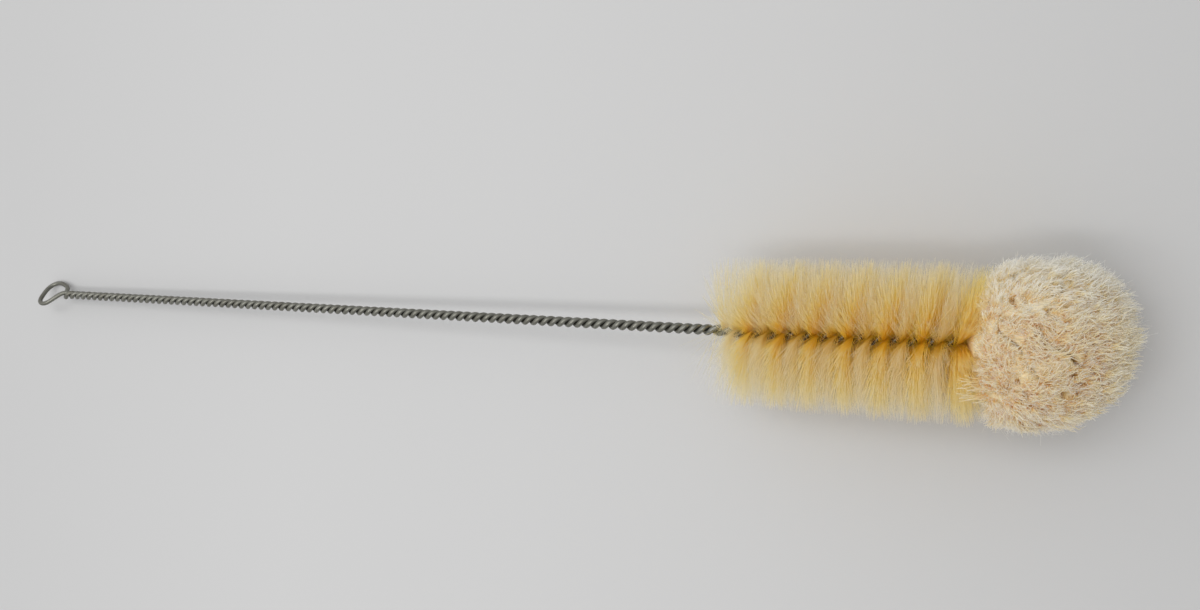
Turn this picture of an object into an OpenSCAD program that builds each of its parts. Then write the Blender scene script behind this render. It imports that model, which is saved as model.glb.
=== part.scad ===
// Bottle brush: one wire folded in half round a pin, its two strands twisted together,
// with hog bristles and a mop of cotton yarn clamped between the strands at the far end.
// The brush lies on its side: the eye, the bristles and the mop rest on the plane z = 0.

/* [Wire] */
// Diameter of the steel wire
wire_d = 1.65; // [1.2:0.05:1.8]
// Length of the stem, from its first full turn to the first bristles
handle_len = 270; // [150:1:400]
// Length of one turn of the bare stem
handle_pitch = 6.18; // [5.6:0.02:9]
// Length of one turn where the strands hold bristles or yarn
head_pitch = 9.8; // [8:0.1:14]
// Room between the two strands of the bare stem
strand_gap = 0.1; // [0.1:0.02:0.3]
// Room between the strands that the bristles and the yarn fill
fill_gap = 0.7; // [0.4:0.05:1]

/* [Eye] */
// Mean radius of the eye, to the middle of the wire
eye_r = 5.6; // [4.5:0.1:8]
// How far the eye springs out at its three soft corners
eye_lobe = 0.5; // [0:0.05:0.8]
// How far the eye's centre lies to one side of the stem
eye_side = 0.5; // [0:0.1:1.5]
// Clear length of the crossed neck between the eye's round and the stem's first turn
neck_len = 2.6; // [2.4:0.1:5]
// Turn of the eye about the stem, from flat
eye_roll = 45; // [0:5:80]

/* [Bristles] */
// Diameter over the bristles' tips
bristle_d = 40; // [24:1:70]
// Length of the bristled part, measured at the wire
bristle_len = 72; // [40:1:160]
// How far the first bristles lean back over the stem
splay_back = 2; // [0:0.5:6]
// How far the last bristles lean out over the cotton
splay_front = 6; // [0:0.5:8]

/* [Cotton tuft] */
// Diameter of the cotton tuft
tuft_d = 45; // [28:1:76]
// Length of the tuft, measured at the wire
tuft_len = 44; // [34:1:80]
// How far the wire's cut ends stop short of the tuft's tip
tip_cover = 6; // [4:0.5:15]

/* [Lie] */
// Slope of the stem as the brush lies on a table
lie_tilt = 2.5; // [1:0.1:5]
// Room between the soft parts and what they close on
soft_gap = 0.3; // [0.1:0.05:0.6]

/* [Hidden] */

// Sides of the wire's section, and rings along each turn, the eye's round and each limb
wire_sides = 6;
turn_rings = 8;
eye_rings = 26;
limb_rings = 7;

// The wire's section has the area of the round wire
section_r = wire_d / 2 * sqrt(2 * PI / wire_sides / sin(360 / wire_sides));
handle_strand_r = (wire_d + strand_gap) / 2;
head_strand_r = (wire_d + fill_gap) / 2;

// Places along the stem, counted from its first full turn
bristle_from = handle_len;
bristle_to = bristle_from + bristle_len;
tuft_from = bristle_to + soft_gap;
tuft_to = bristle_to + tuft_len;
wire_to = tuft_to - tip_cover;
bore_r = head_strand_r + wire_d / 2 + soft_gap / 2;
tuft_bore_to = wire_to + wire_d / 2 + soft_gap;

// The widest place of the tuft, and how square its outline is
tuft_mid = tuft_from + 0.4 * (tuft_to - tuft_from);
tuft_square = 2.1;
tuft_edge_r = 0.86 * tuft_d / 2;

// The eye's round runs from eye_start to eye_end, where its two limbs leave for the neck
eye_start = 25;
eye_end = 260;
eye_lobe_turn = 10;
eye_back = neck_len + eye_r;

// ---- Wire -------------------------------------------------------------------------------

function unit(v) = v / norm(v);

// Turn of the twist at a place along the stem: tight on the bare stem, slower in the head
function twist(s) =
    360 * (min(s, handle_len) / handle_pitch + max(0, s - handle_len) / head_pitch);

// The strands part from the bare stem's spacing to the head's over the head's first turn
function strand_r(s) =
    let (part = max(0, min(1, (s - handle_len) / head_pitch)))
    handle_strand_r + (head_strand_r - handle_strand_r) * part;

// One strand's centreline, and the way out from the stem's axis there: a left-hand helix
function strand_out(s, phase) = [0, cos(phase - twist(s)), sin(phase - twist(s))];
function strand_at(s, phase) = [s, 0, 0] + strand_r(s) * strand_out(s, phase);

// A strand's direction at the stem's first turn
function strand_dir(phase) =
    let (lead = 2 * PI * handle_strand_r / handle_pitch)
    unit([1, lead * sin(phase), -lead * cos(phase)]);

// The eye's round: a circle with three soft corners, in the plane z = 0
function eye_radius(a) = eye_r + eye_lobe * cos(3 * (a - eye_lobe_turn));
function eye_out(a) = [cos(a), sin(a), 0];
function eye_at(a) = [-eye_back, eye_side, 0] + eye_radius(a) * eye_out(a);
function eye_dir(a) =
    unit(eye_radius(a) * [-sin(a), cos(a), 0]
         - 3 * eye_lobe * sin(3 * (a - eye_lobe_turn)) * eye_out(a));

// A limb is a Bezier curve from one place and direction to another
function bezier(p, t) =
    pow(1 - t, 3) * p[0] + 3 * pow(1 - t, 2) * t * p[1]
    + 3 * (1 - t) * t * t * p[2] + pow(t, 3) * p[3];

// The limb behind the neck wraps the stem closely, and the one in front runs out straight
far_limb = [strand_at(0, 180),
            strand_at(0, 180) - 2.4 * wire_d * strand_dir(180),
            eye_at(eye_start) - wire_d * eye_dir(eye_start),
            eye_at(eye_start)];
near_limb = [eye_at(eye_end),
             eye_at(eye_end) + 0.7 * eye_r * eye_dir(eye_end),
             strand_at(0, 0) - 2 * wire_d * strand_dir(0),
             strand_at(0, 0)];

// The whole wire as [place, way out] pairs: up one strand, round the eye, down the other
stem_steps = round(turn_rings * twist(handle_len) / 360);
head_steps = round(turn_rings * (twist(wire_to) - twist(handle_len)) / 360);
stations = concat(
    [for (i = [0 : stem_steps - 1]) handle_len * i / stem_steps],
    [for (i = [0 : head_steps]) handle_len + (wire_to - handle_len) * i / head_steps]);
last = len(stations) - 1;

wire_path = concat(
    [for (i = [last : -1 : 0]) [strand_at(stations[i], 180), strand_out(stations[i], 180)]],
    [for (i = [1 : limb_rings - 1])
        let (t = i / limb_rings)
        [bezier(far_limb, t), (1 - t) * strand_out(0, 180) - t * eye_out(eye_start)]],
    [for (i = [0 : eye_rings])
        let (a = eye_start + (eye_end - eye_start) * i / eye_rings)
        [eye_at(a), -eye_out(a)]],
    [for (i = [1 : limb_rings - 1])
        let (t = i / limb_rings)
        [bezier(near_limb, t), t * strand_out(0, 0) - (1 - t) * eye_out(eye_end)]],
    [for (s = stations) [strand_at(s, 0), strand_out(s, 0)]]);

// A ring of the section at each place, square to the wire, with a flat towards the stem's axis
function ring(i) =
    let (ahead = wire_path[min(i + 1, len(wire_path) - 1)][0],
         behind = wire_path[max(i - 1, 0)][0],
         along = unit(ahead - behind),
         way_out = wire_path[i][1],
         u = unit(way_out - (way_out * along) * along),
         v = cross(along, u))
    [for (k = [0 : wire_sides - 1])
        let (a = 360 * (k + 0.5) / wire_sides)
        wire_path[i][0] + section_r * (cos(a) * u + sin(a) * v)];

// Rolled about the stem so far as the eye is turned, and sloped as the brush lies
function laid(p) =
    let (y = p[1] * cos(eye_roll) + p[2] * sin(eye_roll),
         z = p[2] * cos(eye_roll) - p[1] * sin(eye_roll))
    [p[0] * cos(lie_tilt) - z * sin(lie_tilt), y, p[0] * sin(lie_tilt) + z * cos(lie_tilt)];

wire_points = [for (i = [0 : len(wire_path) - 1], p = ring(i)) laid(p)];
wire_faces = concat(
    [[for (k = [0 : wire_sides - 1]) k]],
    [for (i = [0 : len(wire_path) - 2], k = [0 : wire_sides - 1])
        let (a = i * wire_sides, b = a + wire_sides, n = (k + 1) % wire_sides)
        each [[a + k, b + k, b + n], [a + k, b + n, a + n]]],
    [[for (k = [wire_sides - 1 : -1 : 0]) len(wire_points) - wire_sides + k]]);

// The table is at the eye's lowest place, and the origin is at the middle of the brush's base
lift = -min([for (p = wire_points) p[2]]);
eye_tip = min([for (p = wire_points) p[0]]);
tuft_tip = tuft_to * cos(lie_tilt);
middle = (eye_tip + tuft_tip) / 2;

module twisted_wire() {
    color("dimgray")
    translate([-middle, 0, lift])
    polyhedron(points = wire_points, faces = wire_faces, convexity = 10);
}

// ---- Soft parts -------------------------------------------------------------------------

// A body of revolution about the stem, from its outline [along, radius], cut by the table
module on_stem(outline) {
    intersection() {
        translate([-middle, 0, lift])
        rotate([0, -lie_tilt, 0])
        rotate([0, 90, 0])
        rotate([0, 0, 180])
        rotate_extrude($fn = 96)
        polygon([for (p = outline) [p[1], p[0]]]);

        translate([0, 0, tuft_to])
        cube(2 * tuft_to, center = true);
    }
}

// The bristles' envelope, with a bore for the strands and both ends splayed outwards
module bristles() {
    color("goldenrod")
    on_stem([[bristle_from, bore_r],
             [bristle_from - splay_back, bristle_d / 2],
             [bristle_to + splay_front, bristle_d / 2],
             [bristle_to, bore_r]]);
}

// The tuft closes on the last bristles, swells to its full width and ends in a dome
tuft_neck = tuft_from + splay_front * tuft_edge_r / (bristle_d / 2);
function superellipse(length, height, a) =
    [length * pow(cos(a), 2 / tuft_square), height * pow(sin(a), 2 / tuft_square)];

module cotton_tuft() {
    swell = [for (a = [0 : 15 : 75])
        let (p = superellipse(tuft_mid - tuft_neck, tuft_d / 2 - tuft_edge_r, a))
        [tuft_mid - p[0], tuft_edge_r + p[1]]];
    dome = [for (a = [90 : -7.5 : 0])
        let (p = superellipse(tuft_to - tuft_mid, tuft_d / 2, a))
        [tuft_mid + p[0], p[1]]];
    color("antiquewhite")
    on_stem(concat(
        [[tuft_bore_to, 0],
         [tuft_bore_to, bore_r],
         [tuft_from, bore_r]],
        swell,
        dome));
}

twisted_wire();
bristles();
cotton_tuft();
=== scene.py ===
import math

import bpy
import numpy as np
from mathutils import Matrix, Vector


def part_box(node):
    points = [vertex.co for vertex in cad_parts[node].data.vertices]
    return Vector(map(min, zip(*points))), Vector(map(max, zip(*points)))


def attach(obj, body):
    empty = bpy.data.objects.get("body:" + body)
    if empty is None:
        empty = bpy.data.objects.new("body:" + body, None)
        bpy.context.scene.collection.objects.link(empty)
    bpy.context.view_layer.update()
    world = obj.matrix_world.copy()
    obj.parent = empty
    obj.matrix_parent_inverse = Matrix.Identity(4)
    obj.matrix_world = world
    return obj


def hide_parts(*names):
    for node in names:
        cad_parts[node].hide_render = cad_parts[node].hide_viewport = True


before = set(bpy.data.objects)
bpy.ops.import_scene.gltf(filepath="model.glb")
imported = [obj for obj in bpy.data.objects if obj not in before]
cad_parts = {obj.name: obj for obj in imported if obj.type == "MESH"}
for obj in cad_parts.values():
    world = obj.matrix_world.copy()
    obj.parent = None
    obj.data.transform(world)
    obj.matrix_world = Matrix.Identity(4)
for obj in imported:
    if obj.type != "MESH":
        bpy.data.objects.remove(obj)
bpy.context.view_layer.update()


# ---- Table, lights and camera -------------------------------------------------------------
# The brush lies on a wide sheet of pale grey card, under two soft boxes that hang on either
# side of it, in a grey room. The camera hangs over the tuft and looks back along the stem.

TABLE_HALF = 4
TABLE_GREY = 0.61
# Painted light: the card's grey is a little lighter just towards -x of the middle and falls off
# towards +x, standing in for the fall of the lamps' light across the card
TABLE_PAINTED_FALLOFF = [(0.0, 0.985), (0.3, 1.035), (0.5, 1.025), (0.7, 0.99), (1.0, 0.90)]
PAINTED_FALLOFF_FROM, PAINTED_FALLOFF_TO = -0.22, 0.24
# The room's strength in a direction w is ROOM_LIGHT (1 + ROOM_SLOPE . w)
ROOM_LIGHT = 0.52
ROOM_SLOPE = (-0.465, 0.16, 0.5)
# Each box's side of the brush, its share of the power and its width
BOXES = [(-1, 1.05, 0.22), (1, 0.95, 0.45)]
BOX_POWER = 3.1
BOX_LONG = 1.0
BOX_BACK, BOX_ASIDE, BOX_HIGH = -0.05, 0.36, 1.15
BOX_TURN = math.radians(17.4)
LENS = 36
CAMERA_AT = (0.1937, 0.0120, 0.3543)
CAMERA_TURN = (0, math.radians(23.5), math.radians(2.42))
# Light has to pass through many thin fibres before it gets out of the brush again
FIBRE_BOUNCES, ALL_BOUNCES = 24, 32


def principled(material, roughness=0.5, specular=0.5):
    """The one surface shader that a new material comes with, at a roughness and specular level."""
    material.use_nodes = True
    made = material.node_tree.nodes["Principled BSDF"]
    made.inputs["Roughness"].default_value = roughness
    made.inputs["Specular IOR Level"].default_value = specular
    return made


def object_place(tree):
    """The place in the brush's own frame, as a node's output."""
    return tree.nodes.new("ShaderNodeTexCoord").outputs["Object"]


def axes_of(place):
    """A place's first two numbers, as nodes' outputs."""
    tree = place.id_data
    apart = tree.nodes.new("ShaderNodeSeparateXYZ")
    tree.links.new(place, apart.inputs["Vector"])
    return apart.outputs["X"], apart.outputs["Y"]


def worked_out(operation, value, *others):
    """One step of arithmetic on a node's output, with other outputs or numbers, as an output."""
    tree = value.id_data
    step = tree.nodes.new("ShaderNodeMath")
    step.operation = operation
    tree.links.new(value, step.inputs[0])
    for socket, other in zip(step.inputs[1:], others):
        if isinstance(other, bpy.types.NodeSocket):
            tree.links.new(other, socket)
        else:
            socket.default_value = other
    return step.outputs[0]


def mapped(value, start, end, low, high):
    """A value's span from start to end made one from low to high, as a node's output."""
    tree = value.id_data
    span = tree.nodes.new("ShaderNodeMapRange")
    for name, number in (("From Min", start), ("From Max", end), ("To Min", low), ("To Max", high)):
        span.inputs[name].default_value = number
    tree.links.new(value, span.inputs["Value"])
    return span.outputs["Result"]


def ramp(value, stops):
    """A value made a colour by (place, colour) stops, as a node's output."""
    tree = value.id_data
    made = tree.nodes.new("ShaderNodeValToRGB")
    elements = made.color_ramp.elements
    while len(elements) < len(stops):
        elements.new(0.5)
    for element, (place, colour) in zip(elements, stops):
        element.position, element.color = place, (*colour, 1)
    tree.links.new(value, made.inputs["Fac"])
    return made.outputs["Color"]


table_mesh = bpy.data.meshes.new("table")
corners = [(x * TABLE_HALF, y * TABLE_HALF, 0) for x, y in ((-1, -1), (1, -1), (1, 1), (-1, 1))]
table_mesh.from_pydata(corners, [], [(0, 1, 2, 3)])
table = bpy.data.objects.new("table", table_mesh)
bpy.context.collection.objects.link(table)
card = bpy.data.materials.new("card")
shader = principled(card, roughness=0.9, specular=0.2)
# The card's painted light falloff runs along x
table_x, _ = axes_of(object_place(card.node_tree))
part = mapped(table_x, PAINTED_FALLOFF_FROM, PAINTED_FALLOFF_TO, 0, 1)
painted_falloff_greys = [(at, [shade * TABLE_GREY] * 3) for at, shade in TABLE_PAINTED_FALLOFF]
card.node_tree.links.new(ramp(part, painted_falloff_greys), shader.inputs["Base Color"])
table_mesh.materials.append(card)

world = bpy.data.worlds.new("room")
world.use_nodes = True
nodes, links = world.node_tree.nodes, world.node_tree.links
nodes["Background"].inputs["Color"].default_value = (1, 1, 1, 1)
way = nodes.new("ShaderNodeTexCoord")
slope = nodes.new("ShaderNodeVectorMath")
slope.operation = "DOT_PRODUCT"
slope.inputs[1].default_value = ROOM_SLOPE
links.new(way.outputs["Generated"], slope.inputs[0])
room = worked_out("MULTIPLY_ADD", slope.outputs["Value"], ROOM_LIGHT, ROOM_LIGHT)
links.new(room, nodes["Background"].inputs["Strength"])
bpy.context.scene.world = world

for side, share, wide in BOXES:
    lamp = bpy.data.lights.new("soft_box", "AREA")
    lamp.shape = "RECTANGLE"
    lamp.size, lamp.size_y = BOX_LONG, wide
    lamp.energy = BOX_POWER * share
    box = bpy.data.objects.new("soft_box", lamp)
    box.location = (BOX_BACK, side * BOX_ASIDE, BOX_HIGH)
    box.rotation_euler = (side * BOX_TURN, 0, 0)
    bpy.context.collection.objects.link(box)

lens = bpy.data.cameras.new("camera")
lens.lens = lens.sensor_width = LENS
camera = bpy.data.objects.new("camera", lens)
camera.location, camera.rotation_euler = CAMERA_AT, CAMERA_TURN
bpy.context.collection.objects.link(camera)
bpy.context.scene.camera = camera
bpy.context.scene.view_settings.view_transform = "Standard"
bpy.context.scene.cycles.diffuse_bounces = FIBRE_BOUNCES
bpy.context.scene.cycles.transmission_bounces = FIBRE_BOUNCES
bpy.context.scene.cycles.max_bounces = ALL_BOUNCES


# ---- Twisted wire -------------------------------------------------------------------------
# One length of dull steel wire, bent in half round a pin, which leaves the eye, and twisted
# left-handed. The twist is slower in the head, where the strands close on the fill.

MM = 0.001
WIRE_D = 1.65 * MM
HANDLE_LEN = 270 * MM
HANDLE_PITCH = 6.18 * MM
HEAD_PITCH = 9.8 * MM
FILL_GAP = 0.7 * MM
WIRE_TO = 380 * MM
HANDLE_STRAND_R = 0.505 * WIRE_D
HEAD_STRAND_R = (WIRE_D + FILL_GAP) / 2
EYE_R = 5.6 * MM
EYE_LOBE = 0.5 * MM
EYE_LOBE_TURN = math.radians(10)
EYE_CENTRE = np.array([-8.2, 0.5, 0]) * MM
EYE_FROM, EYE_TO = math.radians(25), math.radians(260)
EYE_ROLL = math.radians(45)
LIE_TILT = math.radians(2.5)
# How far the far limb and the near one run straight on where they leave the stem and the eye
FAR_RUNS = 2.4 * WIRE_D, WIRE_D
NEAR_RUNS = 2 * WIRE_D, 0.7 * EYE_R
WIRE_SIDES = 12
TURN_RINGS = 24
LIMB_RINGS = 14
EYE_RINGS = 60
STEEL_DARK, STEEL_BRIGHT = (0.18, 0.18, 0.155), (0.27, 0.268, 0.235)
# Of these two, the second is painted shade for the grooves between the strands
STEEL_OXIDE, STEEL_GROOVE_SHADE = (0.13, 0.12, 0.095), (0.02, 0.018, 0.013)
LINES_ROUND, LINE_LEN, LINES_SPAN = 18, 9 * MM, (0.35, 0.65)
OXIDE_SCALE, OXIDE_SPAN, OXIDE_MOST = 160, (0.45, 0.75), 0.6
# Painted shade darkens the grooves between the strands. It comes in over these shares of the way
# round the wire from its outer side, and of the way along it from the middle of the eye
GROOVE_EDGE, STRAND_EDGE = (0.2, 0.36), (0.032, 0.04)
ROUGH_SPAN, LINES_ROUGH = (0.3, 0.7), (0.42, 0.28)
GROOVE_SHADE_METALLIC = 0.95, 0.3


def unit(v):
    """v at a length of one, along its last axis."""
    return v / np.linalg.norm(v, axis=-1, keepdims=True)


def twist(s):
    """Turn of the strands at s along the stem: whole turns of the bare stem, then the head's."""
    turns = np.minimum(s, HANDLE_LEN) / HANDLE_PITCH + np.maximum(0, s - HANDLE_LEN) / HEAD_PITCH
    return 2 * np.pi * turns


def across_stem(s, phase):
    """The way out from the stem's axis at s, in a strand's phase: it turns left-handed along s."""
    angle = phase - twist(s)
    return np.stack([0 * angle, np.cos(angle), np.sin(angle)], -1)


def strand_at(s, phase):
    """A strand's middle at s: it parts from the bare stem's radius to the head's in one turn."""
    part = np.clip((s - HANDLE_LEN) / HEAD_PITCH, 0, 1)
    radius = HANDLE_STRAND_R + (HEAD_STRAND_R - HANDLE_STRAND_R) * part
    return s[:, None] * [1, 0, 0] + radius[:, None] * across_stem(s, phase)


def strand_dir(phase):
    """A strand's direction at s = 0, from the helix's lead."""
    lead = 2 * math.pi * HANDLE_STRAND_R / HANDLE_PITCH
    return unit(np.array([1, lead * math.sin(phase), -lead * math.cos(phase)]))


def eye_at(a):
    """The eye's round at angle a: a circle with three soft corners."""
    radius = EYE_R + EYE_LOBE * np.cos(3 * (a - EYE_LOBE_TURN))
    return EYE_CENTRE + radius[:, None] * np.stack([np.cos(a), np.sin(a), 0 * a], -1)


def eye_dir(a):
    """The wire's direction along the eye's round, from two places close together."""
    near = eye_at(np.array([a - 0.001, a + 0.001]))
    return unit(near[1] - near[0])


def bezier(a, b, c, d, t):
    """The cubic curve from a to d that leaves towards b and comes in from c."""
    t = t[:, None]
    return (1 - t) ** 3 * a + 3 * (1 - t) ** 2 * t * b + 3 * (1 - t) * t * t * c + t**3 * d


def laid(p):
    """p turned about the stem as far as the eye is, and sloped as the brush lies."""
    x, y, z = p[..., 0], p[..., 1], p[..., 2]
    y, z = (y * math.cos(EYE_ROLL) + z * math.sin(EYE_ROLL),
            z * math.cos(EYE_ROLL) - y * math.sin(EYE_ROLL))
    return np.stack([x * math.cos(LIE_TILT) - z * math.sin(LIE_TILT), y,
                     x * math.sin(LIE_TILT) + z * math.cos(LIE_TILT)], -1)


def tubes(paths, radii, out, sides):
    """Round sticks along many paths at once. Each ring stands square to its path, with its first
    corner turned the way that out points, so a point is path + radius (cos a u + sin a v)."""
    along = unit(np.gradient(paths, axis=1))
    u = unit(out - (out * along).sum(-1, keepdims=True) * along)
    v = np.cross(along, u)
    a = 2 * np.pi * np.arange(sides) / sides
    ring = np.cos(a)[:, None] * u[:, :, None] + np.sin(a)[:, None] * v[:, :, None]
    return paths[:, :, None] + radii[:, :, None, None] * ring


def tube_mesh(name, points, across, along, smooth=False):
    """A mesh of closed tubes from points[tube, ring, side]. Its map runs round a tube from the
    tube's own place across, which is [from, to], and lengthwise by along[tube, ring]."""
    count, rings, sides = points.shape[:3]
    corner = np.arange(sides)
    ahead = (corner + 1) % sides
    low = np.arange(rings - 1)[:, None] * sides
    walls = np.stack([low + corner, low + ahead, low + sides + ahead, low + sides + corner], -1)
    ends = [corner[::-1], (rings - 1) * sides + corner]
    loops = np.concatenate([walls.ravel(), *ends])
    sizes = np.concatenate([np.full(walls.size // 4, 4), [sides, sides]])
    starts = np.cumsum(sizes) - sizes

    wall_u = np.stack([corner, corner + 1, corner + 1, corner], -1) / sides
    u = np.concatenate([np.tile(wall_u.ravel(), rings - 1), np.tile(corner / sides, 2)])
    ring_of = loops // sides
    first = np.arange(count)[:, None]
    uv = np.stack([across[:, :1] + u * (across[:, 1:] - across[:, :1]), along[:, ring_of]], -1)

    mesh = bpy.data.meshes.new(name)
    mesh.vertices.add(points.size // 3)
    mesh.vertices.foreach_set("co", points.astype(np.float32).ravel())
    mesh.loops.add(count * len(loops))
    mesh.loops.foreach_set("vertex_index", (first * rings * sides + loops).ravel())
    mesh.polygons.add(count * len(sizes))
    mesh.polygons.foreach_set("loop_start", (first * len(loops) + starts).ravel())
    mesh.polygons.foreach_set("use_smooth", np.full(count * len(sizes), smooth))
    mesh.uv_layers.new(name="OFBake").uv.foreach_set("vector", uv.astype(np.float32).ravel())
    mesh.validate()
    mesh.update()
    return mesh


def piece(name, mesh, material, slot, *nodes):
    """The finished piece: it wears one material, rides on the brush and stands for its node."""
    mesh.materials.append(material)
    made = bpy.data.objects.new(name, mesh)
    bpy.context.collection.objects.link(made)
    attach(made, "root")
    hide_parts(*nodes)


FAR, NEAR = math.pi, 0.0
far_from, near_to = strand_at(np.zeros(1), FAR)[0], strand_at(np.zeros(1), NEAR)[0]
eye_ends = eye_at(np.array([EYE_FROM, EYE_TO]))
limb = np.linspace(0, 1, LIMB_RINGS)[1:-1]
far_limb = bezier(far_from, far_from - FAR_RUNS[0] * strand_dir(FAR),
                  eye_ends[0] - FAR_RUNS[1] * eye_dir(EYE_FROM), eye_ends[0], limb)
near_limb = bezier(eye_ends[1], eye_ends[1] + NEAR_RUNS[1] * eye_dir(EYE_TO),
                   near_to - NEAR_RUNS[0] * strand_dir(NEAR), near_to, limb)

stem_ends = np.array([0, HANDLE_LEN, WIRE_TO])
_, head_turn, last_turn = twist(stem_ends)
turn_step = 2 * np.pi / TURN_RINGS
turns = np.concatenate([np.arange(0, head_turn, turn_step),
                        np.arange(head_turn, last_turn, turn_step)])
stations = np.interp(turns, twist(stem_ends), stem_ends)
round_eye = np.linspace(EYE_FROM, EYE_TO, EYE_RINGS)
eye_out = np.stack([np.cos(round_eye), np.sin(round_eye), 0 * round_eye], -1)
far_out, near_out = across_stem(stations, FAR), across_stem(stations, NEAR)
wire_line = np.concatenate([strand_at(stations, FAR)[::-1], far_limb, eye_at(round_eye),
                            near_limb, strand_at(stations, NEAR)])
# The seam runs on the strands' hidden side, and passes to the eye's outer side along the limbs
wire_in = np.concatenate([
    -far_out[::-1],
    -(1 - limb[:, None]) * far_out[0] + limb[:, None] * eye_out[0],
    eye_out,
    -limb[:, None] * near_out[0] + (1 - limb[:, None]) * eye_out[-1],
    -near_out])
wire_points = laid(tubes(wire_line[None], np.full((1, len(wire_line)), WIRE_D / 2),
                         wire_in[None], WIRE_SIDES))

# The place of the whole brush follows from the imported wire's box
wire_low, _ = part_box("twisted_wire")
brush_at = np.array([wire_low.x - wire_points[..., 0].min(), 0,
                     wire_low.z - wire_points[..., 2].min()])
wire_points += brush_at

steps = np.linalg.norm(np.diff(wire_line, axis=0), axis=1)
wire_along = np.concatenate([[0], np.cumsum(steps)])
wire_length = wire_along[-1]


def own_map(tree):
    """The piece's own map, and the places round and along it, as nodes' outputs."""
    where = tree.nodes.new("ShaderNodeUVMap")
    where.uv_map = "OFBake"
    return where.outputs["UV"], *axes_of(where.outputs["UV"])


def stretched(place, scale):
    """A place scaled along each axis, as a node's output."""
    tree = place.id_data
    stretch = tree.nodes.new("ShaderNodeMapping")
    stretch.inputs["Scale"].default_value = scale
    tree.links.new(place, stretch.inputs["Vector"])
    return stretch.outputs["Vector"]


def grain(place, scale, detail, distortion=0):
    """Smooth noise over a place, as a node's output."""
    tree = place.id_data
    noise = tree.nodes.new("ShaderNodeTexNoise")
    noise.inputs["Scale"].default_value = scale
    noise.inputs["Detail"].default_value = detail
    noise.inputs["Distortion"].default_value = distortion
    tree.links.new(place, noise.inputs["Vector"])
    return noise.outputs["Fac"]


def distance_from(value, middle):
    """How far a value is from the middle, as a node's output."""
    return worked_out("ABSOLUTE", worked_out("SUBTRACT", value, middle))


def mixed(share, colour, other):
    """A colour that turns to the other colour by the share, as a node's output."""
    links = share.id_data.links
    mix = share.id_data.nodes.new("ShaderNodeMix")
    mix.data_type = "RGBA"
    links.new(share, mix.inputs["Factor"])
    for socket, value in ((mix.inputs[6], colour), (mix.inputs[7], other)):
        if isinstance(value, tuple):
            socket.default_value = (*value, 1)
        else:
            links.new(value, socket)
    return mix.outputs[2]


steel = bpy.data.materials.new("dull_steel")
shader = principled(steel)
links = steel.node_tree.links
# Fine lines from the drawing die run along the wire, and its oxide comes and goes over some turns
wire_map, round_wire, along_wire = own_map(steel.node_tree)
line_place = stretched(wire_map, (LINES_ROUND, wire_length / LINE_LEN, 1))
lines = grain(line_place, scale=1, detail=3)
oxide = grain(object_place(steel.node_tree), OXIDE_SCALE, detail=4)
# Painted shade: the grooves between the strands, but not the eye, are made near black and less
# metallic, standing in for the shade between the strands
groove_shade = worked_out("MULTIPLY", mapped(distance_from(round_wire, 0.5), *GROOVE_EDGE, 0, 1),
                   mapped(distance_from(along_wire, 0.5), *STRAND_EDGE, 0, 1))
clean = mixed(mapped(lines, *LINES_SPAN, 0, 1), STEEL_DARK, STEEL_BRIGHT)
dull = mixed(mapped(oxide, *OXIDE_SPAN, 0, OXIDE_MOST), clean, STEEL_OXIDE)
links.new(mixed(groove_shade, dull, STEEL_GROOVE_SHADE), shader.inputs["Base Color"])
links.new(mapped(lines, *ROUGH_SPAN, *LINES_ROUGH), shader.inputs["Roughness"])
links.new(mapped(groove_shade, 0, 1, *GROOVE_SHADE_METALLIC), shader.inputs["Metallic"])

wire_mesh = tube_mesh("twisted_wire_strands", wire_points, np.array([[0.0, 1.0]]),
                      wire_along[None] / wire_length, smooth=True)
piece("twisted_wire_strands", wire_mesh, steel, "wire", "twisted_wire")


# ---- Hog bristles -------------------------------------------------------------------------
# Natural bristles, each laid between the two strands and held at its middle. The butt half is
# thick and golden, and the flag half is finer and paler, so each turn of the wire shows as a
# golden band beside a pale one. On the upper side they are parted over the wire.

BRISTLE_FROM = HANDLE_LEN
BRISTLE_TO = BRISTLE_FROM + 72 * MM
BRISTLE_R = 20 * MM
BRISTLES = 14900
FIBRE_COLUMNS = 32
# The strands hold this share of each half. A hair is bent only where it leaves them
BRISTLE_HELD = 0.07
BRISTLE_RINGS = np.array([-1, -BRISTLE_HELD, BRISTLE_HELD, 1])
BRISTLE_RADII = np.array([0.014, 0.038, 0.040, 0.033]) * MM
# The way that the first edge of each three-sided bristle points
BRISTLE_OUT = np.array([1.0, 0.1, 0.1])
BRISTLE_VARY = 0.75, 1.25
IN_GAP = 0.45
# Hardly any hair at first, then more and more of them, and the most just before the cotton
THIN_LEN, THIN = 3.2 * MM, 0.02
FILL_LEN, FILL_FIRST = 15 * MM, 0.1
LAST_LEN, LAST = 2.5 * MM, 2.5
DENSE_STEPS = 200
# Short strays, loose hairs and the close ranks: the edges of their shares, and what each does
KIND_EDGES = [0.07, 0.45]
KIND_LEAN = np.radians([50, 7.5, 4.5])
KIND_REACH = np.array([0.3, 1, 1])
FLAG_FAN, BUTT_FAN = np.radians([[60, 48, 23], [60, 48, 21]])
LEAN = math.radians(5)
LEAN_BACK, LEAN_FRONT = math.radians(-4), math.radians(13)
SPLAY_LEN = 7 * MM
WANDER_LEN = 2.5 * MM
LEAN_WANDER, FAN_WANDER = math.radians(1.0), math.radians(1.5)
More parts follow.
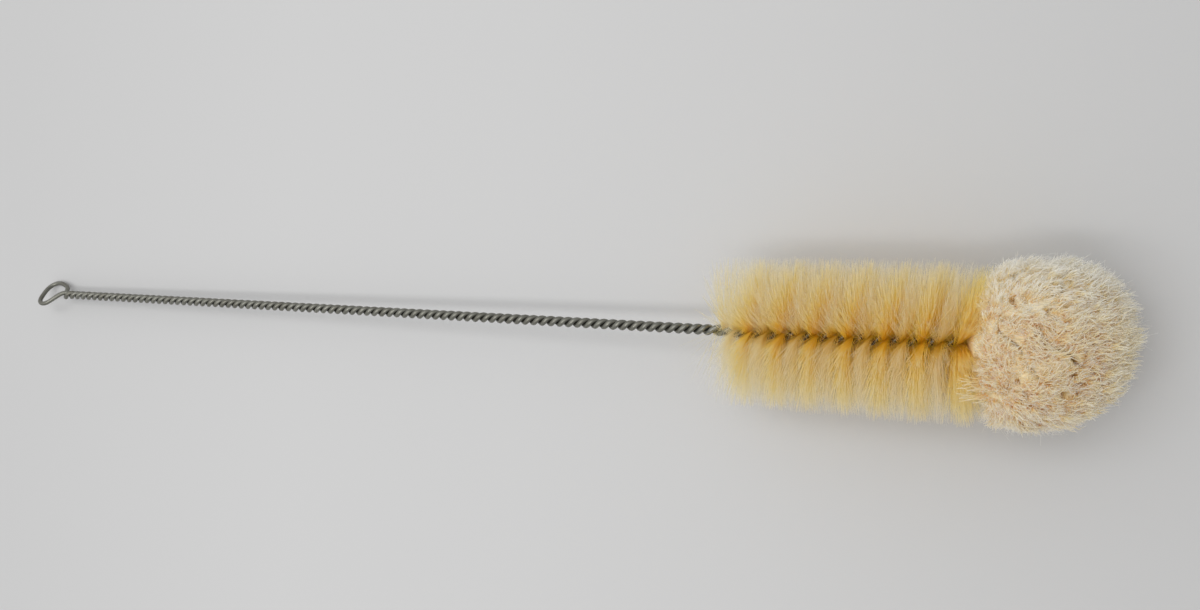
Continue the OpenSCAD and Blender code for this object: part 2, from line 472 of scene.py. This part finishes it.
# How far over the radius the longest of the first hairs stand, in millimetres
OVER_LEN = 2.2
UNEVEN_LEN = 2.6 * MM
PARTED, PARTED_WIDE = math.radians(11), math.radians(20)
TABLE_ROOM = 1.6 * MM
PALE_FIRST, PALE_LEN = 13, 12 * MM
GOLD_LAST, GOLD_LEN = 0.2, 3 * MM
BRISTLE_RAMP = [(0.0, (0.965, 0.955, 0.90)), (0.22, (0.98, 0.940, 0.77)),
                (0.36, (0.99, 0.922, 0.42)), (0.5, (1.0, 0.912, 0.20)), (0.64, (0.996, 0.90, 0.26)),
                (0.8, (0.992, 0.90, 0.42)), (1.0, (0.97, 0.938, 0.83))]

chance = np.random.default_rng(24)


def wave(s, length, amount, count=5):
    """A smooth wander along s: a sum of sines of about one wave length, in chance phases."""
    k = 2 * np.pi / (length * chance.uniform(0.6, 1.6, count))
    phase = chance.uniform(0, 2 * np.pi, count)
    return amount * math.sqrt(2 / count) * np.sin(s[..., None] * k + phase).sum(-1)


def turned(way, side, lean, fan):
    """way turned by fan towards side, and then by lean towards the tip of the brush."""
    flat = np.cos(fan)[:, None] * way + np.sin(fan)[:, None] * side
    return np.cos(lean)[:, None] * flat + np.sin(lean)[:, None] * [1, 0, 0]


def parted(end):
    """Directions pushed apart on the upper side, so that a thin parting shows the wire: an angle
    f from upright becomes f + PARTED exp(-|f| / PARTED_WIDE), to its own side."""
    up = np.array([0, -math.sin(EYE_ROLL), math.cos(EYE_ROLL)])
    over = np.array([0, math.cos(EYE_ROLL), math.sin(EYE_ROLL)])
    angle = np.arctan2(end @ over, end @ up)
    angle += np.sign(angle) * PARTED * np.exp(-np.abs(angle) / PARTED_WIDE)
    reach = np.hypot(end[:, 1], end[:, 2])[:, None]
    return (end[:, :1] * [1, 0, 0]
            + reach * (np.cos(angle)[:, None] * up + np.sin(angle)[:, None] * over))


def on_table(p):
    """p kept above the table: what would sink is pressed into the lowest part of the room."""
    z = p[..., 2]
    pressed = TABLE_ROOM * np.exp(np.minimum(z - TABLE_ROOM, 0) / TABLE_ROOM)
    p[..., 2] = np.where(z < TABLE_ROOM, pressed, z)
    return p


def half_bristle(place, side, end, length, t):
    """One half of each bristle from the clamp outwards: across the stem as far as the strands
    hold it, and then in its own direction."""
    t = t[None, :, None]
    held = np.minimum(t, BRISTLE_HELD)
    length = length[:, None, None]
    return place[:, None] + length * (side[:, None] * held + end[:, None] * (t - held))


dense_at = np.linspace(BRISTLE_FROM, BRISTLE_TO, DENSE_STEPS)
dense = np.clip(FILL_FIRST + (1 - FILL_FIRST) * (dense_at - BRISTLE_FROM) / FILL_LEN, 0, 1)
dense[dense_at < BRISTLE_FROM + THIN_LEN] = THIN
dense[dense_at > BRISTLE_TO - LAST_LEN] = LAST
dense_share = np.cumsum(dense) / dense.sum()


def bristle_paths(count):
    """Whole bristles, flag tip first: each lies across the stem between the strands. Its halves
    lean and fan out by a wander along the stem and a chance of their kind's own size, and they
    are a millimetre longer at the last bristles than at the first."""
    s = np.interp(np.sort(chance.uniform(0, 1, count)), dense_share, dense_at)
    strand = across_stem(s, 0)
    butt = across_stem(s, math.pi / 2)
    in_gap = chance.uniform(-IN_GAP, IN_GAP, (count, 1)) * FILL_GAP
    place = s[:, None] * [1, 0, 0] + in_gap * strand
    ends = []
    part = (s - BRISTLE_FROM) / (BRISTLE_TO - BRISTLE_FROM)
    kind = np.searchsorted(KIND_EDGES, chance.uniform(0, 1, count))
    for sign, fan in ((-1, FLAG_FAN), (1, BUTT_FAN)):
        way = sign * butt
        lean = (LEAN + LEAN_BACK * np.exp((BRISTLE_FROM - s) / SPLAY_LEN)
                + LEAN_FRONT * np.exp((s - BRISTLE_TO) / SPLAY_LEN)
                + wave(s, WANDER_LEN, LEAN_WANDER)
                + KIND_LEAN[kind] * chance.normal(0, 1, count))
        turn = (wave(s, WANDER_LEN, FAN_WANDER)
                + fan[kind] * chance.normal(0, 1, count))
        end = parted(turned(way, strand, lean, turn))
        short = UNEVEN_LEN * np.abs(chance.normal(0, 1, count))
        length = BRISTLE_R + (OVER_LEN + part) * MM - short
        ends.append((way, end, KIND_REACH[kind] * length))
    t = BRISTLE_RINGS
    flags = half_bristle(place, *ends[0], -t[t < 0])
    butts = half_bristle(place, *ends[1], t[t > 0])
    return np.concatenate([flags, butts], 1)


def scaled(colour, share):
    """A colour made lighter or darker by a share, as a node's output."""
    tree = colour.id_data
    tint = tree.nodes.new("ShaderNodeVectorMath")
    tint.operation = "SCALE"
    tree.links.new(colour, tint.inputs[0])
    tree.links.new(share, tint.inputs["Scale"])
    return tint.outputs["Vector"]


# One group that every kind of fibre uses: a shade of its own for each column of the map
shades = bpy.data.node_groups.new("fibre_shades", "ShaderNodeTree")
for name, way, kind in (("Colour", "INPUT", "Color"), ("Columns", "INPUT", "Float"),
                        ("Spread", "INPUT", "Float"), ("Colour", "OUTPUT", "Color")):
    shades.interface.new_socket(name, in_out=way, socket_type="NodeSocket" + kind)
nodes, links = shades.nodes, shades.links
given, result = nodes.new("NodeGroupInput"), nodes.new("NodeGroupOutput")
_, place_across, _ = own_map(shades)
column = worked_out("FLOOR", worked_out("MULTIPLY", place_across, given.outputs["Columns"]))
noise = nodes.new("ShaderNodeTexWhiteNoise")
noise.noise_dimensions = "1D"
links.new(column, noise.inputs["W"])
either_way = worked_out("MULTIPLY_ADD", noise.outputs["Value"], 2, -1)
shade = worked_out("MULTIPLY_ADD", either_way, given.outputs["Spread"], 1)
links.new(scaled(given.outputs["Colour"], shade), result.inputs["Colour"])


def fibre_shader(material, stops, spread, translucent, **surface):
    """Colour along a fibre by the map's second axis, shaded by the group. Part of the light goes
    through."""
    shader = principled(material, **surface)
    nodes, links = material.node_tree.nodes, material.node_tree.links
    _, _, place_along = own_map(material.node_tree)
    own = nodes.new("ShaderNodeGroup")
    own.node_tree = shades
    own.inputs["Columns"].default_value = FIBRE_COLUMNS
    own.inputs["Spread"].default_value = spread
    links.new(ramp(place_along, stops), own.inputs["Colour"])
    through = nodes.new("ShaderNodeBsdfTranslucent")
    both = nodes.new("ShaderNodeMixShader")
    both.inputs["Fac"].default_value = translucent
    links.new(own.outputs["Colour"], shader.inputs["Base Color"])
    links.new(own.outputs["Colour"], through.inputs["Color"])
    links.new(shader.outputs["BSDF"], both.inputs[1])
    links.new(through.outputs["BSDF"], both.inputs[2])
    links.new(both.outputs["Shader"], nodes["Material Output"].inputs["Surface"])


def fibre_mesh(name, paths, radii, vary, out, along):
    """Three-sided fibres along the paths: each varies in thickness by a chance factor, and lies in
    one column of the map, with a little room at each side."""
    count = len(paths)
    radii = radii * chance.uniform(*vary, (count, 1))
    points = tubes(paths, radii, out, 3)
    column = chance.integers(0, FIBRE_COLUMNS, count)
    return tube_mesh(name, points, (column[:, None] + [0.2, 0.8]) / FIBRE_COLUMNS, along)


bristle = bpy.data.materials.new("hog_bristle")
fibre_shader(bristle, BRISTLE_RAMP, spread=0.02, translucent=0.8, roughness=0.45, specular=0.25)

bristle_along = (BRISTLE_RINGS + 1) / 2
hairs = on_table(laid(bristle_paths(BRISTLES)) + brush_at)
for name, paths in (("bristles_rear", hairs[:BRISTLES // 2]),
                    ("bristles_front", hairs[BRISTLES // 2:])):
    # The first bristles are pale up to the clamp, and the last ones are golden almost to the tips
    into = (paths[:, 1:3, 0].mean(1) - brush_at[0]) / math.cos(LIE_TILT) - BRISTLE_FROM
    paler = PALE_FIRST * np.exp(-np.maximum(0, into) / PALE_LEN)
    golden = GOLD_LAST * np.exp(np.minimum(0, into - BRISTLE_TO + BRISTLE_FROM) / GOLD_LEN)
    along = np.clip(0.5 + (bristle_along - 0.5) * (1 + paler - golden)[:, None], 0, 1)
    mesh = fibre_mesh(name, paths, BRISTLE_RADII, BRISTLE_VARY, BRISTLE_OUT, along)
    piece(name, mesh, bristle, "bristle", "bristles")


# ---- Cotton tuft --------------------------------------------------------------------------
# Cut lengths of unbleached cotton yarn, clamped between the same strands. The yarns lie so close
# that they are one soft mass, and at its surface each opens into threads, which lean forwards
# over the dome and fray into single fibres.

TUFT_FROM = BRISTLE_TO + 0.3 * MM
TUFT_TO = BRISTLE_TO + 44 * MM
TUFT_R = 22.5 * MM
TUFT_EDGE_R = 0.86 * TUFT_R
TUFT_MID = TUFT_FROM + 0.4 * (TUFT_TO - TUFT_FROM)
# It closes on the last bristles, whose tips lean out over it
BRISTLES_OVER = 6 * MM
TUFT_NECK = TUFT_FROM + BRISTLES_OVER * TUFT_EDGE_R / BRISTLE_R
TUFT_SQUARE = 2.1
TUFT_LEAN = 3.8 * MM
OUTLINE_STEPS = 400
# The mass comes out to these shares of the outline, from the first of these angles to the next
MASS_REACH, TIP_REACH = 0.88, 0.77
REACH_AT = [0.3, 1.2]
REACH_SPREAD = 0.025
MASS_RINGS, MASS_SIDES, NECK_RINGS = 110, 240, 8
# Behind, it stands back between the last bristles. Its ends are closed over small rings
NECK_BACK, NECK_SMALL, TIP_SMALL = 0.6 * MM, 0.1, 0.02
# The wave lengths of the swirl, of the broad wander and of the thin lines of the partings
WAVE_LENS = 16 * MM, 9 * MM, 8 * MM
LINE_DEEP, LINE_STEEP = 1.2, 2.6
OPEN, OPEN_WANDER = 0.45, 0.8
DENT_DEPTH = 4.0 * MM
# Painted shade: how far along the mass's ramp its colour stands where there is no dent, and how
# much less the painted shade of a dent shows on the paler side
DENT_LEAST, PALE_SIDE_DENT = 0.2, 0.4
# The cotton turns paler over this span towards the tuft's +y side, by a shift along its colours
PALE_SIDE_FROM, PALE_SIDE_LEN = 5 * MM, 16 * MM
PALE_SIDE_SHIFT = 0.25
# Painted shade: the mass is darker and more orange the deeper its dents, standing in for the shade
# in the partings
MASS_SHADE_RAMP = [(0.0, (0.95, 0.91, 0.78)), (0.2, (0.93, 0.80, 0.52)), (0.44, (0.88, 0.68, 0.36)),
             (0.84, (0.68, 0.39, 0.12))]
WOOL_SCALE, WOOL_STRETCH, WOOL_BUMP = 2200, (0.25, 1, 1), 0.25 * MM
WOOL_SPAN, WOOL_SHADE = (0.3, 0.7), (0.72, 1.04)


def tuft_outline(a):
    """Place along the stem and radius of the tuft's outline: a from -pi/2 at the neck, through
    0 at the widest place, to pi/2 at the tip, on two quarters of a superellipse."""
    c = np.abs(np.cos(a)) ** (2 / TUFT_SQUARE)
    d = np.abs(np.sin(a)) ** (2 / TUFT_SQUARE)
    ahead = a > 0
    along = np.where(ahead, TUFT_MID + (TUFT_TO - TUFT_MID) * d,
                     TUFT_MID - (TUFT_MID - TUFT_NECK) * d)
    radius = np.where(ahead, TUFT_R * c, TUFT_EDGE_R + (TUFT_R - TUFT_EDGE_R) * c)
    return along, radius


def tuft_place(a, angle, reach):
    """Points in the tuft at a share reach of the way from its middle to its outline, with the
    way out from there, the way forwards along the outline and the way round the stem."""
    s, r = tuft_outline(a)
    around = np.stack([0 * angle, np.cos(angle), np.sin(angle)], -1)
    step = 0.02
    next_s, next_r = tuft_outline(np.minimum(a + step, math.pi / 2))
    last_s, last_r = tuft_outline(np.maximum(a - step, -math.pi / 2))
    slope = unit(np.stack([next_s - last_s, next_r - last_r], -1))
    forward = slope[..., :1] * [1, 0, 0] + slope[..., 1:] * around
    out = slope[..., :1] * around - slope[..., 1:] * [1, 0, 0]
    s = TUFT_MID + (s - TUFT_MID) * reach
    place = s[..., None] * [1, 0, 0] + (r * reach)[..., None] * around
    return place, out, forward, np.cross(out, forward)


def in_tuft(p):
    """p laid as the brush lies, with the tuft brushed over to one side: more towards its tip, as
    the square of the way there."""
    part = np.maximum(0, (p[..., 0] - TUFT_FROM) / (TUFT_TO - TUFT_FROM))
    lain = laid(p) + brush_at
    lain[..., 1] += TUFT_LEAN * part**2
    return on_table(lain)


def chance_waves(length, count=8):
    """Plane waves in chance directions, each about one length long, with their phases."""
    way = unit(chance.normal(0, 1, (count, 3)))
    k = way * 2 * np.pi / (length * chance.uniform(0.7, 1.5, (count, 1)))
    return k, chance.uniform(0, 2 * np.pi, count)


def drift(p, waves):
    """A smooth wander over points p, between about -1.5 and 1.5: the sum of the waves' sines."""
    k, phase = waves
    return math.sqrt(2 / len(phase)) * np.sin(p @ k.T + phase).sum(-1)


swirl_waves, broad_waves, line_waves = (chance_waves(length) for length in WAVE_LENS)


def parting(p):
    """How deep the cotton has parted at p, from 0 to 1: thin lines where a wander w crosses zero,
    LINE_DEEP - LINE_STEEP |w|, which open and close with another v, as OPEN + OPEN_WANDER v."""
    line = np.clip(LINE_DEEP - LINE_STEEP * np.abs(drift(p, line_waves)), 0, 1)
    return line * np.clip(OPEN_WANDER * drift(p, broad_waves) + OPEN, 0, 1)


def reach_at(a):
    """How far out the mass comes, as a share of the outline: less at the tip."""
    return np.interp(a, REACH_AT, [MASS_REACH, TIP_REACH])


def pale_side_share(p):
    """How much whiter the cotton is at p, from 0 to 1: it is so towards one side of the tuft."""
    return np.clip((p[..., 1] - PALE_SIDE_FROM) / PALE_SIDE_LEN, 0, 1)


# Where along the outline each share of the tuft's surface has been passed
angles = np.linspace(-math.pi / 2, math.pi / 2, OUTLINE_STEPS)
outline_s, outline_r = tuft_outline(angles)
belt = np.hypot(np.diff(outline_s), np.diff(outline_r)) * (outline_r[1:] + outline_r[:-1]) / 2
share = np.concatenate([[0], np.cumsum(belt)]) / belt.sum()

# The mass is closed behind, where the first yarns stand against the last bristles
neck_r = np.linspace(NECK_SMALL, 1, NECK_RINGS)[:-1, None] * TUFT_EDGE_R * MASS_REACH
neck_s = TUFT_FROM - NECK_BACK + (TUFT_NECK - TUFT_FROM) * neck_r / TUFT_EDGE_R
dome_a, mass_turn = np.meshgrid(
    np.linspace(-math.pi / 2, math.pi / 2 - TIP_SMALL, MASS_RINGS),
    np.linspace(0, 2 * np.pi, MASS_SIDES, endpoint=False), indexing="ij")
place, out, _, _ = tuft_place(dome_a, mass_turn, reach_at(dome_a))
mass_dent = parting(place)
place = place - DENT_DEPTH * mass_dent[..., None] * out
turn = mass_turn[:1]
neck = np.stack([neck_s + 0 * turn, neck_r * np.cos(turn), neck_r * np.sin(turn)], -1)
mass_points = in_tuft(np.concatenate([neck, place]))

wool = bpy.data.materials.new("cotton_mass")
shader = principled(wool, roughness=0.9, specular=0.05)
nodes, links = wool.node_tree.nodes, wool.node_tree.links
# The dent attribute paints the shade of the partings into the mass's colour
dent_shade = nodes.new("ShaderNodeAttribute")
dent_shade.attribute_name = "dent"
# Its fibres are fine streaks, which lie more along the brush than round it
wool_place = stretched(object_place(wool.node_tree), WOOL_STRETCH)
streaks = grain(wool_place, WOOL_SCALE, detail=3, distortion=0.6)
shade = mapped(streaks, *WOOL_SPAN, *WOOL_SHADE)
streaked = scaled(ramp(dent_shade.outputs["Fac"], MASS_SHADE_RAMP), shade)
links.new(streaked, shader.inputs["Base Color"])
bump = nodes.new("ShaderNodeBump")
bump.inputs["Distance"].default_value = WOOL_BUMP
bump.inputs["Strength"].default_value = 1
links.new(streaks, bump.inputs["Height"])
links.new(bump.outputs["Normal"], shader.inputs["Normal"])
mesh = tube_mesh("cotton_mass", mass_points[None], np.array([[0.0, 1.0]]),
                 np.linspace(0, 1, len(mass_points))[None], smooth=True)
# The dents' painted shade, weaker on the paler side, goes to the mass as a point attribute
dents = np.concatenate([np.zeros(neck.shape[:2]), mass_dent])
dents = (DENT_LEAST + (1 - DENT_LEAST) * dents
         - (DENT_LEAST + PALE_SIDE_DENT * dents) * pale_side_share(mass_points))
mesh.attributes.new("dent", "FLOAT", "POINT").data.foreach_set("value", dents.ravel())
piece("cotton_mass", mesh, wool, "cotton", "cotton_tuft")


# The threads and the single fibres that stand on the mass. Lengths are in millimetres, turns in
# degrees, and both go by the angle of the outline
YARNS = 2000
THREADS = 8
MOST_THREADS = 12000
FUZZ = 22000
GOLDEN_TURN = math.pi * (3 - math.sqrt(5))
TURN_SPREAD = 0.05
COMB = math.radians(18)
SWIRL_AT, SWIRL = [-1.5, -0.8, 0.2, 1.5], [150, 60, 25, 20]
LOOSE_AT, LOOSE = [-1.5, -0.9], [85, 22]
THREAD_LEN_AT, THREAD_LEN = [-1.5, 0, 1], [2.6, 3.8, 4.4]
YARN_VARY, THREAD_VARY = (0.7, 1.3), (0.75, 1.15)
THREAD_STEEP, THREAD_SPREAD = math.radians(20), math.radians(17)
THREAD_FLAT_AT, THREAD_FLAT = [-1.5, -0.4, 0.3, 1.2], [45, 65, 95, 40]
THREADS_APART, CRIMP = 0.5 * MM, 0.22 * MM
THREAD_AT = np.array([0, 0.35, 0.7, 1])
# A few yarns by the bristles lie back over them
BACK_BEFORE, BACK_LEN = -1.1, 6.5 * MM
BACK_TURN, BACK_WIDE = math.radians(168), math.radians(13)
FUZZ_OUT = 0.075
FUZZ_LEN = 1.0, 3.2
STRAY_AT, STRAY_SHARE, STRAY_LONGER = [0.8, 1.3], [0.02, 0.08], 2.4
# None stands over a parting deeper than this
THREAD_PARTED, FUZZ_PARTED = 0.35, 0.6
# The radii along each, and where those lie on the colours
THREAD_RADII, THREAD_ALONG = np.array([0.10, 0.13, 0.12, 0.07]) * MM, [0, 0.25, 0.5, 0.7]
FUZZ_RADII, FUZZ_ALONG = np.array([0.035, 0.03, 0.02]) * MM, [0.8, 0.9, 1]
COTTON_VARY = 0.75, 1.2
COTTON_OUT = np.array([0.2, 0.3, 1.0])
# Painted shade: the threads are darker and more orange at their roots, down by the mass, than at
# their tips
COTTON_ROOT_SHADE_RAMP = [(0.0, (0.91, 0.67, 0.28)), (0.3, (0.955, 0.885, 0.66)), (0.7, (0.965, 0.955, 0.91)),
               (1.0, (0.975, 0.972, 0.955))]


def lay_of(place, a, forward, across):
    """The way that the cotton leans at each place: forwards and a little round the stem, with a
    swirl that is strongest by the bristles and calms down towards the tip."""
    swirl = np.radians(np.interp(a, SWIRL_AT, SWIRL))
    loose = np.radians(np.interp(a, LOOSE_AT, LOOSE))
    comb = COMB + swirl * drift(place, swirl_waves) + loose * chance.normal(0, 1, len(a))
    return np.cos(comb)[:, None] * forward + np.sin(comb)[:, None] * across


def thread_paths():
    """The threads of every yarn, from where the yarn comes out of the mass: they curve over from
    the way out to the yarn's lay."""
    order = np.arange(YARNS)
    a = np.interp((order + 0.5) / YARNS, share, angles)
    turn = GOLDEN_TURN * order + chance.normal(0, TURN_SPREAD, YARNS)
    reach = reach_at(a) + chance.normal(0, REACH_SPREAD, YARNS)
    q, out, forward, across = tuft_place(a, turn, reach)
    lay = lay_of(q, a, forward, across)
    length = np.interp(a, THREAD_LEN_AT, THREAD_LEN) * MM * chance.uniform(*YARN_VARY, YARNS)
    back = (a < BACK_BEFORE) & (np.cos(turn - BACK_TURN) > math.cos(BACK_WIDE))
    lay[back] = -forward[back]
    length[back] = BACK_LEN

    each = (YARNS, THREADS)
    apart = chance.normal(0, THREADS_APART, (*each, 2))
    about = THREAD_SPREAD * chance.normal(0, 1, (*each, 2))
    t = THREAD_AT[None, None, :, None]
    q, out, lay, across = (v[:, None, None] for v in (q, out, lay, np.cross(out, lay)))
    side = apart[:, :, None, :1] * lay + apart[:, :, None, 1:] * across

    # The thread's slope turns from steep to flat along it, so its path is a soft arc
    over = np.radians(np.interp(a, THREAD_FLAT_AT, THREAD_FLAT))[:, None, None, None]
    flat = over + about[:, :, None, :1]
    bend = THREAD_STEEP + (flat - THREAD_STEEP) * t / 2
    turn = about[:, :, None, 1:] * t
    thread = length[:, None, None, None] * chance.uniform(*THREAD_VARY, (*each, 1, 1)) * t
    lift = np.cos(bend) * out + np.sin(bend) * (np.cos(turn) * lay + np.sin(turn) * across)
    crimp = chance.normal(0, CRIMP, (*each, len(THREAD_AT), 3))
    paths = (q + side + thread * lift + crimp).reshape(YARNS * THREADS, len(THREAD_AT), 3)
    whole = np.flatnonzero(parting(paths).max(1) < THREAD_PARTED)
    return paths[np.sort(chance.permutation(whole)[:MOST_THREADS])]


def fuzz_paths():
    """Single fibres that have come out of the threads: short curls near the outline. The first
    half runs along 0.8 lay + 0.3 out + 0.5 chance, and the last along 0.8 lay + 0.6 out + 0.8
    chance."""
    a = np.interp(np.sort(chance.uniform(0, 1, FUZZ)), share, angles)
    turn = chance.uniform(0, 2 * np.pi, FUZZ)
    reach = reach_at(a) + chance.normal(FUZZ_OUT, REACH_SPREAD, FUZZ)
    q, out, forward, across = tuft_place(a, turn, reach)
    lay = lay_of(q, a, forward, across)
    first = unit(0.8 * lay + 0.3 * out + 0.5 * chance.normal(0, 1, (FUZZ, 3)))
    last = unit(0.8 * lay + 0.6 * out + 0.8 * chance.normal(0, 1, (FUZZ, 3)))
    length = chance.uniform(*FUZZ_LEN, (FUZZ, 1)) * MM
    stray = chance.uniform(0, 1, FUZZ) < np.interp(a, STRAY_AT, STRAY_SHARE)
    length[stray] *= STRAY_LONGER
    paths = np.stack([q, q + length / 2 * first, q + length / 2 * (first + last)], 1)
    return paths[parting(paths).max(1) < FUZZ_PARTED]


cotton = bpy.data.materials.new("cotton_yarn")
fibre_shader(cotton, COTTON_ROOT_SHADE_RAMP, spread=0.035, translucent=0.6, roughness=0.8, specular=0.1)

threads, fibres = in_tuft(thread_paths()), in_tuft(fuzz_paths())
for name, paths, radii, along in (
        ("cotton_threads_a", threads[::2], THREAD_RADII, THREAD_ALONG),
        ("cotton_threads_b", threads[1::2], THREAD_RADII, THREAD_ALONG),
        ("cotton_fuzz_a", fibres[::2], FUZZ_RADII, FUZZ_ALONG),
        ("cotton_fuzz_b", fibres[1::2], FUZZ_RADII, FUZZ_ALONG)):
    along = np.clip(np.array(along) + PALE_SIDE_SHIFT * pale_side_share(paths), 0, 1)
    mesh = fibre_mesh(name, paths, radii, COTTON_VARY, COTTON_OUT, along)
    piece(name, mesh, cotton, "cotton", "cotton_tuft")
